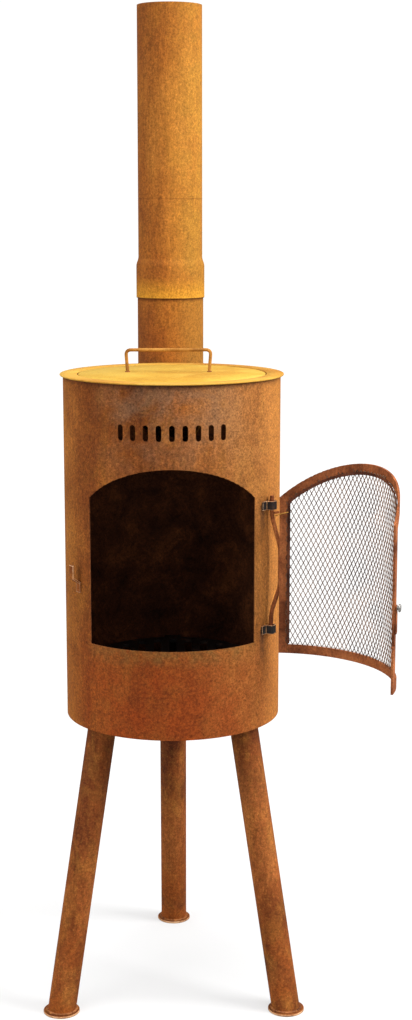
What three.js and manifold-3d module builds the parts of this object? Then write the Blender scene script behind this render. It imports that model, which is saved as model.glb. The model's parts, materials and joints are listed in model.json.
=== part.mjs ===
// Garden stove (chiminea) of weathering steel: a round drum on three splayed legs, with an arched
// doorway, a curved mesh door on a kinked hinge rod, a lift-off lid and a flue standing behind it.
// Units are millimetres. +Z is up, the ground is z = 0 and the doorway faces -Y.
// The origin is the point of the ground under the drum's axis.

import * as THREE from 'three';
import { mergeVertices } from 'three/addons/utils/BufferGeometryUtils.js';
import Module from 'manifold-3d';

const wasm = await Module();
wasm.setup();

// ---------- driving dimensions ----------

const TOTAL_HEIGHT = 1494;
const GAP = 0.3;                    // between pieces that touch or are welded
const DRUM_RADIUS = 160;
const DRUM_WALL = 2;
const DRUM_BOTTOM = 436;
const RING_TOP = 948;
const RING_RADIUS = 164.6;
const RING_THICK = 2;
const RING_MOUTH = 139.5;
const PLATE = 3;                    // lid seat, floor, feet and grate lugs

const DOORWAY = { centre: 0, half: 47.9, sill: 566.5, spring: 780, apex: 828 };
const VENT = { count: 9, pitch: 6.7, width: 8, low: 867, high: 890 };

const LID = { radius: 137.7, thick: 1.5, seatInner: 128, seatOuter: 152 };
const HANDLE = { rod: 2.5, top: 63, foot: 60.5, height: 32, x: -5, y: 20 };

const FLUE = { x: -2, y: 218 };
const FLUE_PIPE = { outer: 50.4, wall: 1.5 };
const BELL = { outer: 53.8, mouth: 1047, low: 1096.5, high: 1110.5 };
const TEE = { outer: 52, inner: 50, bottom: 814, top: 1096.5 };
const BRANCH = { z: 864, outer: 48, inner: 46 };

const LEG_TUBE = { outer: 20.9, inner: 18.9 };
const FOOT_RADIUS = 27;
const LEGS = [
  { side: 'left', bearing: -56.5, top: 124.5, foot: 202 },
  { side: 'right', bearing: 56.5, top: 124.5, foot: 202 },
  { side: 'back', bearing: 180, top: 125.5, foot: 230 },
];

const GRATE = { radius: 125, bottom: 512, thick: 5, slots: 9, pitch: 24, slotWidth: 11 };

const HINGE = { bearing: 59.5, radius: 166.8, rod: 3 };
const STRAP = { thick: 2, loop: 6.6, foot: 17.3 };
const STRAPS = { top: { low: 758.5, high: 771.5 }, bottom: { low: 575, high: 588 } };
const ROD_BOW = { top: 749, weldTop: 702, weldBottom: 646, bottom: 606 };

const DOOR = { centre: 2.6, half: 53, sill: 546.5, spring: 777, apex: 835.5, bar: 13 };
const DOOR_MESH = { inner: 161.3, outer: 162.5 };
const DOOR_FRAME = { inner: 162.8, outer: 165.8 };
const MESH_LAP = 2.5;               // how far the mesh lies over the frame's bar
const NOTCH = { low: 612, high: 640, depth: 6 };
const DOOR_REST = 119;              // degrees open at rest

const LATCH = { z: 664.5, length: 36, width: 9, thick: 1.5 };
const CATCH = { bearing: -57.5, standOff: 11.5, low: 638, bendLow: 652, bendHigh: 660, high: 679,
  width: 11 };

const ROUND = 60;                   // segments round the drum

// ---------- materials ----------

const steel = (color, roughness = 0.85, metalness = 0.35) =>
  new THREE.MeshStandardMaterial({ color, roughness, metalness });

const rustBrown = steel(0x8a5634);
const rustOrange = steel(0xb5713a);
const rustOchre = steel(0xc98c3c);
const rustDark = steel(0x5c3a2c);
const ironBlack = steel(0x2f2825);
const meshRust = steel(0x7a5138);
const bareSteel = steel(0x8c8a86, 0.45, 0.8);

// ---------- geometry helpers ----------

const radians = THREE.MathUtils.degToRad;
const point = (x, y) => new THREE.Vector2(x, y);

// A place at a bearing from the front (-Y), positive to the right (+X).
const polar = (radius, bearing, z = 0) =>
  new THREE.Vector3(radius * Math.sin(radians(bearing)), -radius * Math.cos(radians(bearing)), z);

function signedVolume(geometry) {
  const { position } = geometry.attributes;
  const corners = [0, 1, 2].map(() => new THREE.Vector3());
  let volume = 0;
  for (let i = 0; i < geometry.index.count; i += 3) {
    corners.forEach((corner, k) => corner.fromBufferAttribute(position, geometry.index.getX(i + k)));
    volume += corners[0].dot(corners[1].clone().cross(corners[2])) / 6;
  }
  return volume;
}

// Leaves only positions, merges shared vertices, drops zero-area faces and turns the faces outward.
function closed(source) {
  const bare = source.index ? source : mergeVertices(source);
  bare.deleteAttribute('normal');
  bare.deleteAttribute('uv');
  const merged = mergeVertices(bare, 1e-4);
  const faces = [];
  for (let i = 0; i < merged.index.count; i += 3) {
    const [a, b, c] = [0, 1, 2].map((k) => merged.index.getX(i + k));
    if (a !== b && b !== c && c !== a) faces.push([a, b, c]);
  }
  merged.setIndex(faces.flat());
  if (signedVolume(merged) < 0) merged.setIndex(faces.flatMap(([a, b, c]) => [a, c, b]));
  return merged;
}

function solid(geometry) {
  const ready = closed(geometry);
  return new wasm.Manifold(new wasm.Mesh({
    numProp: 3,
    vertProperties: new Float32Array(ready.attributes.position.array),
    triVerts: new Uint32Array(ready.index.array),
  }));
}

function geometryOf(manifold) {
  const { vertProperties, triVerts } = manifold.getMesh();
  const geometry = new THREE.BufferGeometry();
  geometry.setAttribute('position', new THREE.BufferAttribute(vertProperties, 3));
  geometry.setIndex(new THREE.BufferAttribute(triVerts, 1));
  return geometry;
}

const cut = (body, ...tools) => tools.reduce((rest, tool) => rest.subtract(tool), body);

// A solid of revolution about the Z axis, from [radius, z] pairs.
const turned = (profile, segments = ROUND) =>
  new THREE.LatheGeometry(profile.map(([r, z]) => point(r, z)), segments).rotateX(Math.PI / 2);

const disc = (radius, low, high, segments = ROUND) =>
  turned([[0, low], [radius, low], [radius, high], [0, high]], segments);

const tube = (inner, outer, low, high, segments = ROUND) =>
  turned([[inner, low], [outer, low], [outer, high], [inner, high], [inner, low]], segments);

// A flat outline of [x, y] pairs, extruded along Z.
const prism = (outline, depth) =>
  new THREE.ExtrudeGeometry(new THREE.Shape(outline.map(([x, y]) => point(x, y))),
    { depth, bevelEnabled: false });

// The wedge that a radial cut through the front wall takes out, from [bearing, z] pairs.
function radialWedge(outline) {
  const near = 90;
  const far = 260;
  const wedge = prism(outline.map(([bearing, z]) => [near * Math.tan(radians(bearing)), z]), far - near);
  const { position } = wedge.attributes;
  for (let i = 0; i < position.count; i += 1) {
    const distance = near + position.getZ(i);
    position.setXYZ(i, position.getX(i) * distance / near, -distance, position.getY(i));
  }
  return wedge;
}

// The bearing that a distance along the drum's wall covers.
const alongWall = (distance) => THREE.MathUtils.radToDeg(distance / DRUM_RADIUS);

// An arched outline on the drum's wall: straight sill and sides, and a round arch over them.
function archOutline({ centre, half, sill, spring, apex }, inset = 0) {
  const steps = 18;
  const side = radians(half) * DRUM_RADIUS;
  const rise = apex - spring;
  const archRadius = (side ** 2 + rise ** 2) / (2 * rise);
  const archCentre = apex - archRadius;
  const reach = side - inset;
  const outline = [[-reach, sill + inset], [reach, sill + inset]];
  for (let i = 0; i <= steps; i += 1) {
    const along = reach * (1 - 2 * i / steps);
    outline.push([along, archCentre + Math.sqrt((archRadius - inset) ** 2 - along ** 2)]);
  }
  return outline.map(([along, z]) => [centre + alongWall(along), z]);
}

// A round rod bent along a route of points, with rounded corners.
function bentRod(route, rodRadius, bend, steps) {
  const path = new THREE.CurvePath();
  let from = route[0];
  for (let i = 1; i < route.length - 1; i += 1) {
    const corner = route[i];
    const entry = corner.clone().add(route[i - 1].clone().sub(corner).setLength(bend));
    const leave = corner.clone().add(route[i + 1].clone().sub(corner).setLength(bend));
    path.add(new THREE.LineCurve3(from, entry));
    path.add(new THREE.QuadraticBezierCurve3(entry, corner, leave));
    from = leave;
  }
  path.add(new THREE.LineCurve3(from, route[route.length - 1]));
  const section = new THREE.Shape().absarc(0, 0, rodRadius, 0, 2 * Math.PI);
  return new THREE.ExtrudeGeometry(section, { extrudePath: path, steps, curveSegments: 5 });
}

// A strip bent to a [outward, z] profile and standing on the wall at a bearing.
function wallStrip(profile, width, radius, bearing) {
  const strip = prism(profile, width).translate(0, 0, -width / 2).rotateX(Math.PI / 2);
  return strip.translate(radius, 0, 0).rotateZ(radians(bearing - 90));
}

function mesh(name, geometry, material) {
  const node = new THREE.Mesh(closed(geometry), material);
  node.name = name;
  return node;
}

// ---------- drum ----------

function ventSlot(bearing) {
  const steps = 5;
  const half = VENT.width / 2;
  const outline = [];
  for (const [centre, start] of [[VENT.high - half, 0], [VENT.low + half, Math.PI]]) {
    for (let i = 0; i <= steps; i += 1) {
      const turn = start + Math.PI * i / steps;
      outline.push([bearing + alongWall(half * Math.cos(turn)), centre + half * Math.sin(turn)]);
    }
  }
  return solid(radialWedge(outline));
}

// A cylinder along Y at the height of the flue's branch.
const branchCylinder = (radius, front, back) =>
  disc(radius, front, back, 48).rotateX(-Math.PI / 2).translate(FLUE.x, 0, BRANCH.z);

const DRUM_TOP = RING_TOP - RING_THICK - GAP;

function drumShell() {
  const wall = solid(tube(DRUM_RADIUS - DRUM_WALL, DRUM_RADIUS, DRUM_BOTTOM, DRUM_TOP));
  const vents = Array.from({ length: VENT.count },
    (_, i) => ventSlot((i - (VENT.count - 1) / 2) * VENT.pitch));
  const doorway = solid(radialWedge(archOutline(DOORWAY)));
  const flueHole = solid(branchCylinder(BRANCH.outer + GAP, DRUM_RADIUS / 2, DRUM_RADIUS * 1.1));
  return geometryOf(cut(wall, doorway, flueHole, ...vents));
}

const FLOOR_BOTTOM = DRUM_BOTTOM + 2;
const FLOOR_TOP = FLOOR_BOTTOM + PLATE;
const BOLT = { shank: 5, hole: 5.4, acrossCorners: 18.5, head: 6.5, length: 18 };

function drumFloor() {
  const plate = solid(disc(DRUM_RADIUS - DRUM_WALL - 2 * GAP, FLOOR_BOTTOM, FLOOR_TOP));
  const holes = LEGS.map(({ bearing, top }) => {
    const { x, y } = polar(top, bearing);
    return solid(disc(BOLT.hole, FLOOR_BOTTOM - 1, FLOOR_TOP + 1, 24).translate(x, y, 0));
  });
  return geometryOf(cut(plate, ...holes));
}

const drum = new THREE.Group();
drum.add(
  mesh('drum_shell', drumShell(), rustBrown),
  mesh('drum_floor', drumFloor(), rustDark),
  mesh('top_ring', tube(RING_MOUTH, RING_RADIUS, RING_TOP - RING_THICK, RING_TOP), rustOchre),
  mesh('lid_seat', tube(LID.seatInner, LID.seatOuter, DRUM_TOP - PLATE, DRUM_TOP), rustDark),
);

// ---------- fire grate on three lugs ----------

function fireGrate() {
  const rim = 14;
  const { radius, bottom, thick, slots, pitch, slotWidth } = GRATE;
  const openings = [];
  for (let i = 0; i < slots; i += 1) {
    const x = (i - (slots - 1) / 2) * pitch;
    const reach = Math.sqrt((radius - rim) ** 2 - (Math.abs(x) + slotWidth / 2) ** 2);
    const slotLength = reach - rim / 2;
    for (const side of [-1, 1]) {
      openings.push(solid(new THREE.BoxGeometry(slotWidth, slotLength, 2 * thick)
        .translate(x, side * (rim + slotLength) / 2, bottom + thick / 2)));
    }
  }
  return geometryOf(cut(solid(disc(radius, bottom, bottom + thick)), ...openings));
}

function grateLug(bearing) {
  const width = 25;
  const face = DRUM_RADIUS - DRUM_WALL - 0.9;
  const inner = GRATE.radius - 10;
  const shelf = GRATE.bottom - GAP;
  const profile = [[inner, shelf - PLATE], [face - PLATE, shelf - PLATE], [face - PLATE, shelf - 24],
    [face, shelf - 24], [face, shelf], [inner, shelf]];
  return wallStrip(profile, width, 0, bearing);
}

const firebed = new THREE.Group();
firebed.add(mesh('fire_grate', fireGrate(), ironBlack));
for (const [side, bearing] of [['left', -60], ['right', 60], ['back', 180]]) {
  firebed.add(mesh(`grate_lug_${side}`, grateLug(bearing), rustDark));
}

// ---------- lid, which lies in the ring's mouth on the seat ----------

const LID_BOTTOM = DRUM_TOP + GAP;
const LID_TOP = LID_BOTTOM + LID.thick;

function lidHandle() {
  const foot = LID_TOP + 0.8;
  const top = foot + HANDLE.height;
  const route = [[-HANDLE.foot, foot], [-HANDLE.top, top], [HANDLE.top, top], [HANDLE.foot, foot]];
  const bend = 8;
  return bentRod(route.map(([x, z]) => new THREE.Vector3(x + HANDLE.x, HANDLE.y, z)), HANDLE.rod, bend, 30);
}

const lid = new THREE.Group();
lid.add(
  mesh('lid_disc', disc(LID.radius, LID_BOTTOM, LID_TOP), rustOchre),
  mesh('lid_handle', lidHandle(), rustOrange),
);

// ---------- flue ----------

function flueTee() {
  const { outer, inner, bottom, top } = TEE;
  const outside = solid(disc(outer, bottom, top, 48).translate(FLUE.x, FLUE.y, 0));
  const bore = solid(disc(inner, bottom - 1, top + 1, 48).translate(FLUE.x, FLUE.y, 0));
  const branch = solid(branchCylinder(BRANCH.outer, DRUM_RADIUS - 8, FLUE.y));
  const branchBore = solid(branchCylinder(BRANCH.inner, DRUM_RADIUS - 9, FLUE.y));
  return geometryOf(cut(outside.add(branch), bore, branchBore));
}

function flueSaddle() {
  const width = 14;
  const thick = 1.5;
  const skin = solid(tube(DRUM_RADIUS + GAP, DRUM_RADIUS + GAP + thick,
    BRANCH.z - 2 * BRANCH.outer, BRANCH.z + 2 * BRANCH.outer));
  const round = solid(branchCylinder(BRANCH.outer + width, DRUM_RADIUS / 2, DRUM_RADIUS * 1.1));
  const hole = solid(branchCylinder(BRANCH.outer + GAP, DRUM_RADIUS / 2 - 1, DRUM_RADIUS * 1.1 + 1));
  return geometryOf(cut(skin.intersect(round), hole));
}

function flueCap() {
  const { outer, inner, bottom } = TEE;
  const plug = inner - 0.5;
  const wall = 1.8;
  return turned([[0, bottom - PLATE - GAP], [outer + 2, bottom - PLATE - GAP], [outer + 2, bottom - GAP],
    [plug, bottom - GAP], [plug, bottom + 16], [plug - wall, bottom + 16], [plug - wall, bottom - 1],
    [0, bottom - 1]], 48).translate(FLUE.x, FLUE.y, 0);
}

// The upper pipe ends in a bell that slips over the tee and rests on its rim.
function fluePipe() {
  const { outer, wall } = FLUE_PIPE;
  const outside = [[BELL.outer, BELL.mouth], [BELL.outer, BELL.low], [outer, BELL.high],
    [outer, TOTAL_HEIGHT]];
  const inside = outside.map(([r, z]) => [r - wall, z]).reverse();
  return turned([...outside, ...inside, outside[0]], 48).translate(FLUE.x, FLUE.y, 0);
}

const flue = new THREE.Group();
flue.add(
  mesh('flue_tee', flueTee(), rustOrange),
  mesh('flue_saddle', flueSaddle(), rustBrown),
  mesh('flue_clean_out_cap', flueCap(), rustDark),
  mesh('flue_pipe', fluePipe(), rustOrange),
);

// ---------- legs ----------

const PAD_THICK = 4;
const PAD_BOTTOM = FLOOR_BOTTOM - GAP - PAD_THICK;
const PAD_RADIUS = 26;

function legTube({ bearing, top, foot }) {
  const low = polar(foot, bearing, 0);
  const high = polar(top, bearing, DRUM_BOTTOM);
  const along = high.clone().sub(low);
  const overrun = 20;
  const spare = solid(tube(LEG_TUBE.inner, LEG_TUBE.outer, -overrun, along.length() + overrun, 36)
    .applyQuaternion(new THREE.Quaternion().setFromUnitVectors(new THREE.Vector3(0, 0, 1),
      along.clone().normalize()))
    .translate(low.x, low.y, low.z));
  const bottom = PLATE + GAP;
  const height = PAD_BOTTOM - GAP - bottom;
  const span = 3 * DRUM_RADIUS;
  const slab = new THREE.BoxGeometry(span, span, height).translate(0, 0, bottom + height / 2);
  return geometryOf(spare.intersect(solid(slab)));
}

function legPad({ bearing, top }) {
  const { x, y } = polar(top, bearing);
  return tube(BOLT.hole, PAD_RADIUS, PAD_BOTTOM, PAD_BOTTOM + PAD_THICK, 36).translate(x, y, 0);
}

function legBolt({ bearing, top }) {
  const { x, y } = polar(top, bearing);
  const seat = FLOOR_TOP + GAP;
  const shank = solid(disc(BOLT.shank, seat - BOLT.length, seat + 1, 24));
  const head = solid(disc(BOLT.acrossCorners / 2, seat, seat + BOLT.head, 6));
  return geometryOf(shank.add(head)).translate(x, y, 0);
}

const stand = new THREE.Group();
for (const leg of LEGS) {
  const { x, y } = polar(leg.foot, leg.bearing);
  stand.add(
    mesh(`leg_${leg.side}`, legTube(leg), rustBrown),
    mesh(`leg_pad_${leg.side}`, legPad(leg), rustDark),
    mesh(`leg_bolt_${leg.side}`, legBolt(leg), ironBlack),
    mesh(`foot_${leg.side}`, disc(FOOT_RADIUS, 0, PLATE, 48).translate(x, y, 0), rustOchre),
  );
}

// ---------- hinge straps and catch on the drum ----------

// A strip bent round the hinge rod, with a foot on each side that lies on the drum's wall.
function hingeStrap({ low, high }) {
  const { thick, loop, foot } = STRAP;
  const wall = DRUM_RADIUS + GAP;
  const reach = HINGE.radius + HINGE.rod + 2 * GAP + thick;
  const corner = 2;
  const right = [[loop - corner, reach], [loop, reach - corner], [loop, wall + thick],
    [foot, wall + thick], [foot, wall], [loop - thick, wall], [loop - thick, reach - thick]];
  const left = right.map(([across, radius]) => [-across, radius]).reverse();
  const onWall = [...right, ...left].map(([across, radius]) =>
    [Math.sqrt(radius ** 2 - across ** 2), across]);
  return prism(onWall, high - low).translate(0, 0, low).rotateZ(radians(HINGE.bearing - 90));
}

function drumCatch() {
  const { standOff, low, bendLow, bendHigh, high, width } = CATCH;
  const thick = 2;
  const lean = 1;
  const profile = [[0, low], [thick, low], [thick, bendLow - lean], [standOff + thick, bendHigh - lean],
    [standOff + thick, high], [standOff, high], [standOff, bendHigh + lean], [0, bendLow + lean]];
  return wallStrip(profile, width, DRUM_RADIUS + GAP, CATCH.bearing);
}

const fittings = new THREE.Group();
fittings.add(
  mesh('hinge_strap_top', hingeStrap(STRAPS.top), ironBlack),
  mesh('hinge_strap_bottom', hingeStrap(STRAPS.bottom), ironBlack),
  mesh('drum_catch', drumCatch(), rustDark),
);

// ---------- door, drawn shut against the drum and then swung open about the hinge ----------

const HINGE_EDGE = DOOR.centre + DOOR.half;
const FREE_EDGE = DOOR.centre - DOOR.half;

const doorFrontWedge = (inset) => solid(radialWedge(archOutline(DOOR, inset)));

const curvedSheet = ({ inner, outer }) => solid(tube(inner, outer, DOOR.sill - 10, DOOR.apex + 10));

// The bar of the frame has a slanted notch in its free edge, under the latch.
function doorFrame() {
  const bar = cut(curvedSheet(DOOR_FRAME).intersect(doorFrontWedge(0)), doorFrontWedge(DOOR.bar));
  const across = (distance) => FREE_EDGE + alongWall(distance);
  const notch = solid(radialWedge([[across(-2), NOTCH.low], [across(NOTCH.depth), NOTCH.low],
    [across(0), NOTCH.high], [across(-2), NOTCH.high]]));
  return geometryOf(cut(bar, notch));
}

const doorMesh = () => geometryOf(curvedSheet(DOOR_MESH).intersect(doorFrontWedge(DOOR.bar - MESH_LAP)));

// The rod turns in both straps and bows out between them to the door's edge bar.
const onHingeAxis = (z) => polar(HINGE.radius, HINGE.bearing, z);
const onEdgeBar = (z) => polar(DOOR_FRAME.outer + GAP + HINGE.rod, HINGE_EDGE - 0.4, z);

function hingeRod() {
  const { top, weldTop, weldBottom, bottom } = ROD_BOW;
  return bentRod([onHingeAxis(STRAPS.top.high + 7), onHingeAxis(top), onEdgeBar(weldTop),
    onEdgeBar(weldBottom), onHingeAxis(bottom), onHingeAxis(STRAPS.bottom.low - 0.5)], HINGE.rod, 7, 44);
}

// A short tie from the top of the rod, just under its strap, to the door's edge bar.
function hingeTie() {
  const from = onHingeAxis(ROD_BOW.top + 4);
  const to = polar(DOOR_FRAME.outer - 1.2, HINGE_EDGE, ROD_BOW.top + 6.5);
  const along = to.clone().sub(from).normalize();
  const start = from.addScaledVector(along, HINGE.rod + 2 * GAP);
  const end = to.addScaledVector(along, -3 * GAP);
  const section = new THREE.Shape().absarc(0, 0, 1.8, 0, 2 * Math.PI);
  return new THREE.ExtrudeGeometry(section,
    { extrudePath: new THREE.LineCurve3(start, end), steps: 1, curveSegments: 5 });
}

const LATCH_BEARING = FREE_EDGE + alongWall(DOOR.bar / 2);

// Puts a piece drawn with +Z pointing away from the door's face on the latch's pivot.
function onLatchPivot(geometry) {
  const { x, y, z } = polar(DOOR_FRAME.outer, LATCH_BEARING, LATCH.z);
  return geometry.rotateX(Math.PI / 2).rotateZ(radians(LATCH_BEARING)).translate(x, y, z);
}

const STUD = { shank: 2.8, head: 5.5, neck: 4, top: 7.2 };

const latchStud = () => onLatchPivot(turned([[0, GAP], [STUD.shank, GAP], [STUD.shank, STUD.neck],
  [STUD.head, STUD.neck + 0.8], [STUD.head, STUD.top - 0.8], [STUD.head - 0.8, STUD.top],
  [0, STUD.top]], 32));

function latchLever() {
  const { length, width, thick } = LATCH;
  const lift = 2 * GAP;
  const outline = new THREE.Shape().absarc(0, 0, width / 2, 0, Math.PI);
  outline.absarc(0, width / 2 - length, width / 2, Math.PI, 2 * Math.PI);
  outline.holes.push(new THREE.Path().absarc(0, 0, STUD.shank + GAP, 0, 2 * Math.PI));
  return onLatchPivot(new THREE.ExtrudeGeometry(outline,
    { depth: thick, bevelEnabled: false, curveSegments: 12 }).translate(0, 0, lift));
}

const hingeAxis = polar(HINGE.radius, HINGE.bearing);
const shutDoor = new THREE.Group();
shutDoor.position.copy(hingeAxis).negate();
shutDoor.add(
  mesh('door_frame', doorFrame(), rustDark),
  mesh('door_mesh', doorMesh(), meshRust),
  mesh('hinge_rod', hingeRod(), rustDark),
  mesh('hinge_tie', hingeTie(), rustDark),
  mesh('latch_stud', latchStud(), bareSteel),
  mesh('latch_lever', latchLever(), rustDark),
);

const door = new THREE.Group();
door.position.copy(hingeAxis);
door.rotation.z = radians(DOOR_REST);
door.add(shutDoor);

// ---------- whole stove ----------

const chiminea = new THREE.Group();
chiminea.add(drum, firebed, lid, flue, stand, fittings, door);

export default chiminea;
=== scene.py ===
"""Garden chiminea stove of weathering steel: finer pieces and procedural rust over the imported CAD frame."""
import json
import math

import bpy
import bmesh
from mathutils import Matrix, Vector
from mathutils.noise import noise as perlin


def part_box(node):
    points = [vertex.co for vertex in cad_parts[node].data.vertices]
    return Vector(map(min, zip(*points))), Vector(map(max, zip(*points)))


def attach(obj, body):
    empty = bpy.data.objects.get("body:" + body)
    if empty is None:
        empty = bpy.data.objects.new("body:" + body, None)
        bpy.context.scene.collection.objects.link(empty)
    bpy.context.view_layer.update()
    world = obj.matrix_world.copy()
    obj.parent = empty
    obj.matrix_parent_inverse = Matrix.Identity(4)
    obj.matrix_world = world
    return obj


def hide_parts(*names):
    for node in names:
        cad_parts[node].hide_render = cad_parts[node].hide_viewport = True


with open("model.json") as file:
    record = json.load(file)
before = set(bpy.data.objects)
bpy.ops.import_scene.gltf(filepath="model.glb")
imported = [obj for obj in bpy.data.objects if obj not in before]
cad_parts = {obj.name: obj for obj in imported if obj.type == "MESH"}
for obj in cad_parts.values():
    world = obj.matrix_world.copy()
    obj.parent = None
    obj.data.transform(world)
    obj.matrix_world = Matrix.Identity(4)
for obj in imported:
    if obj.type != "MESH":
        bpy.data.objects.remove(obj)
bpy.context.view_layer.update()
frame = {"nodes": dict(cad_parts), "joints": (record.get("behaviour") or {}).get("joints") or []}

NODES = frame["nodes"]
JOINTS = {joint["name"]: joint for joint in frame["joints"]}

# ---------- sizes, in metres, from the frame where a node's box gives them ----------

MM = 0.001
GAP = 0.3 * MM
FOOT_THICK = 3 * MM
CENTRE_HOLE = 0.5 * MM              # what a turned disc leaves open at its axis

shell_low, shell_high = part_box("drum_shell")
DRUM_RADIUS = shell_high.x
DRUM_WALL = 2 * MM
DRUM_BOTTOM, DRUM_TOP = shell_low.z, shell_high.z
DOORWAY = {"centre": 0.0, "half": 47.9, "sill": 0.5665, "spring": 0.780, "apex": 0.828}
VENT = {"count": 9, "pitch": 6.7, "width": 8 * MM, "low": 0.867, "high": 0.890}

ring_low, ring_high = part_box("top_ring")
RING_MOUTH = 139.5 * MM
lid_low, lid_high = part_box("lid_disc")
handle_low, handle_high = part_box("lid_handle")
HANDLE_ROD = 2.5 * MM
HANDLE_TOP, HANDLE_FOOT = 63 * MM, 60.5 * MM

pipe_low, pipe_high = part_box("flue_pipe")
FLUE = (pipe_low + pipe_high).xy / 2
BELL_RADIUS = (pipe_high.x - pipe_low.x) / 2
PIPE_RADIUS = 50.4 * MM
PIPE_WALL = 1.5 * MM
BELL_LOW, BELL_HIGH = 1.0965, 1.1105
tee_low, tee_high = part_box("flue_tee")
TEE_RADIUS = (tee_high.x - tee_low.x) / 2
BRANCH_Z, BRANCH_RADIUS = 0.864, 48 * MM
LOWER_TUBE_WALL = 2 * MM

LEG_RADIUS = 20.9 * MM
LEG_WALL = 2 * MM
LEGS = {                            # bearing, and distance from the axis at the drum and at the ground
    "left": (-56.5, 124.5 * MM, 202 * MM),
    "right": (56.5, 124.5 * MM, 202 * MM),
    "back": (180, 125.5 * MM, 230 * MM),
}

HINGE_X, HINGE_Y = JOINTS["door_hinge"]["pos_m"][:2]
DOOR_REST = -JOINTS["door_hinge"]["range_deg"][0]
frame_low, frame_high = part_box("door_frame")
DOOR = {"centre": 2.6, "half": 53.0, "sill": frame_low.z, "spring": 0.777, "apex": frame_high.z}
FREE_EDGE = DOOR["centre"] - DOOR["half"]
HINGE_EDGE = DOOR["centre"] + DOOR["half"]
DOOR_BAR = 13 * MM
DOOR_INNER, DOOR_OUTER = 162.8 * MM, 165.8 * MM
NOTCH = {"low": 0.612, "high": 0.640, "depth": 6 * MM}
MESH_RADIUS = 162.0 * MM
MESH_INSET = DOOR_BAR - 2.5 * MM
DIAMOND_WIDE, DIAMOND_TALL, STRAND = 7.3 * MM, 13.6 * MM, 1.0 * MM
STRAND_THICK, STRAND_TILT = 0.7 * MM, 0.15 * MM
CLAMP_INNER, CLAMP_OUTER = 160.7 * MM, 161.15 * MM
rod_low, rod_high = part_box("hinge_rod")
ROD_RADIUS = 3 * MM
ROD_BOW = {"top": 0.749, "weld_top": 0.702, "weld_bottom": 0.646, "bottom": 0.606}
STRAP_FEET = {name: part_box(f"hinge_strap_{name}")[0].z for name in ("top", "bottom")}
STRAP_BEARING = 54.5
TIE_RADIUS = 0.85 * MM
TIE_ROUTE = ((163.2, 58.0, 0.7500), (161.6, 56.6, 0.7515), (161.25, 55.0, 0.7530), (161.25, 51.0, 0.7560))

# Heights where a mark or a painted shade on the rust begins and where it is full, in metres.
RED_FOOT = (0.60, 0.52)
HEAT_TINT = (0.80, 0.90)
SILL_BAND, SILL_BAND_TOP = (0.540, 0.556), 0.575
# Under the ring: painted shade of its overhang, with dark rust.
RING_SHADE_AND_STAIN = (ring_low.z - 8 * MM, ring_low.z - MM)
# Under the bell: painted shadow on the tee.
TEE_SHADE = (pipe_low.z - 5 * MM, pipe_low.z)
BELL_BROWN = (BELL_HIGH, tee_high.z - 80 * MM)
GOLD_RIM = (1.08, 1.05)
SCRIBED_LINE = 1.2005
# The first pair is painted shade on the legs under the drum.
LEG_PAINTED_SHADE, LEG_ORANGE = (0.22, 0.42), (0.20, 0.05)


# ---------- places and paths ----------

def polar(radius, bearing, z=0.0):
    """A place at a bearing in degrees from the front (-Y), positive to the right."""
    angle = math.radians(bearing)
    return Vector((radius * math.sin(angle), -radius * math.cos(angle), z))


def along_wall(bearing):
    """The distance along the drum's wall from the front to a bearing in degrees."""
    return math.radians(bearing) * DRUM_RADIUS


def on_wall(radius, along, z):
    """A place on a cylinder, at a distance along the drum's wall from the front."""
    return polar(radius, math.degrees(along / DRUM_RADIUS), z)


OPENED = (Matrix.Translation((HINGE_X, HINGE_Y, 0)) @ Matrix.Rotation(math.radians(DOOR_REST), 4, "Z")
          @ Matrix.Translation((-HINGE_X, -HINGE_Y, 0)))


def arch_outline(shape, inset=0.0, steps=48):
    """Points (along, z) round an arched outline: sill, right side, arch, left side."""
    side = along_wall(shape["half"])
    rise = shape["apex"] - shape["spring"]
    arch = (side ** 2 + rise ** 2) / (2 * rise)
    reach, sill = side - inset, shape["sill"] + inset

    def crown(along):
        return shape["apex"] - arch + math.sqrt((arch - inset) ** 2 - along ** 2)

    spring = crown(reach)
    points = [(reach * (2 * i / steps - 1), sill) for i in range(steps)]
    points += [(reach, sill + (spring - sill) * i / steps) for i in range(steps)]
    points += [(reach * (1 - 2 * i / steps), crown(reach * (1 - 2 * i / steps))) for i in range(steps)]
    points += [(-reach, spring + (sill - spring) * i / steps) for i in range(steps)]
    return [(along_wall(shape["centre"]) + along, z) for along, z in points]


def rounded(points, radius, steps=8):
    """The route through points with its corners rounded."""
    route = [points[0]]
    for before, corner, after in zip(points, points[1:], points[2:]):
        entry = corner + (before - corner).normalized() * radius
        leave = corner + (after - corner).normalized() * radius
        for i in range(steps + 1):
            t = i / steps
            route.append(entry * (1 - t) ** 2 + corner * 2 * t * (1 - t) + leave * t ** 2)
    route.append(points[-1])
    return route


# ---------- mesh helpers ----------

def piece(name, verts, faces, body, material, replaces=(), sharp=35):
    """Makes a mesh object with smooth faces and sharp edges, and lets it ride on a body."""
    mesh = bpy.data.meshes.new(name)
    mesh.from_pydata([tuple(v) for v in verts], [], faces)
    return finished(bpy.data.objects.new(name, mesh), body, material, replaces, sharp=sharp)


def finished(obj, body, material, replaces=(), bevel=0.0, sharp=35):
    """Shades an object, gives it its material and body, and hides the CAD nodes that it replaces."""
    if obj.name not in bpy.context.scene.collection.objects:
        bpy.context.scene.collection.objects.link(obj)
    mesh = obj.data
    work = bmesh.new()
    work.from_mesh(mesh)
    bmesh.ops.recalc_face_normals(work, faces=work.faces)
    for edge in work.edges:
        edge.smooth = len(edge.link_faces) == 2 and edge.calc_face_angle(0) < math.radians(sharp)
    for face in work.faces:
        face.smooth = True
    work.to_mesh(mesh)
    work.free()
    if bevel:
        soften(obj, bevel)
    mesh.materials.clear()
    mesh.materials.append(material)
    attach(obj, body)
    if replaces:
        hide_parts(*replaces)
    return obj


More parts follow.
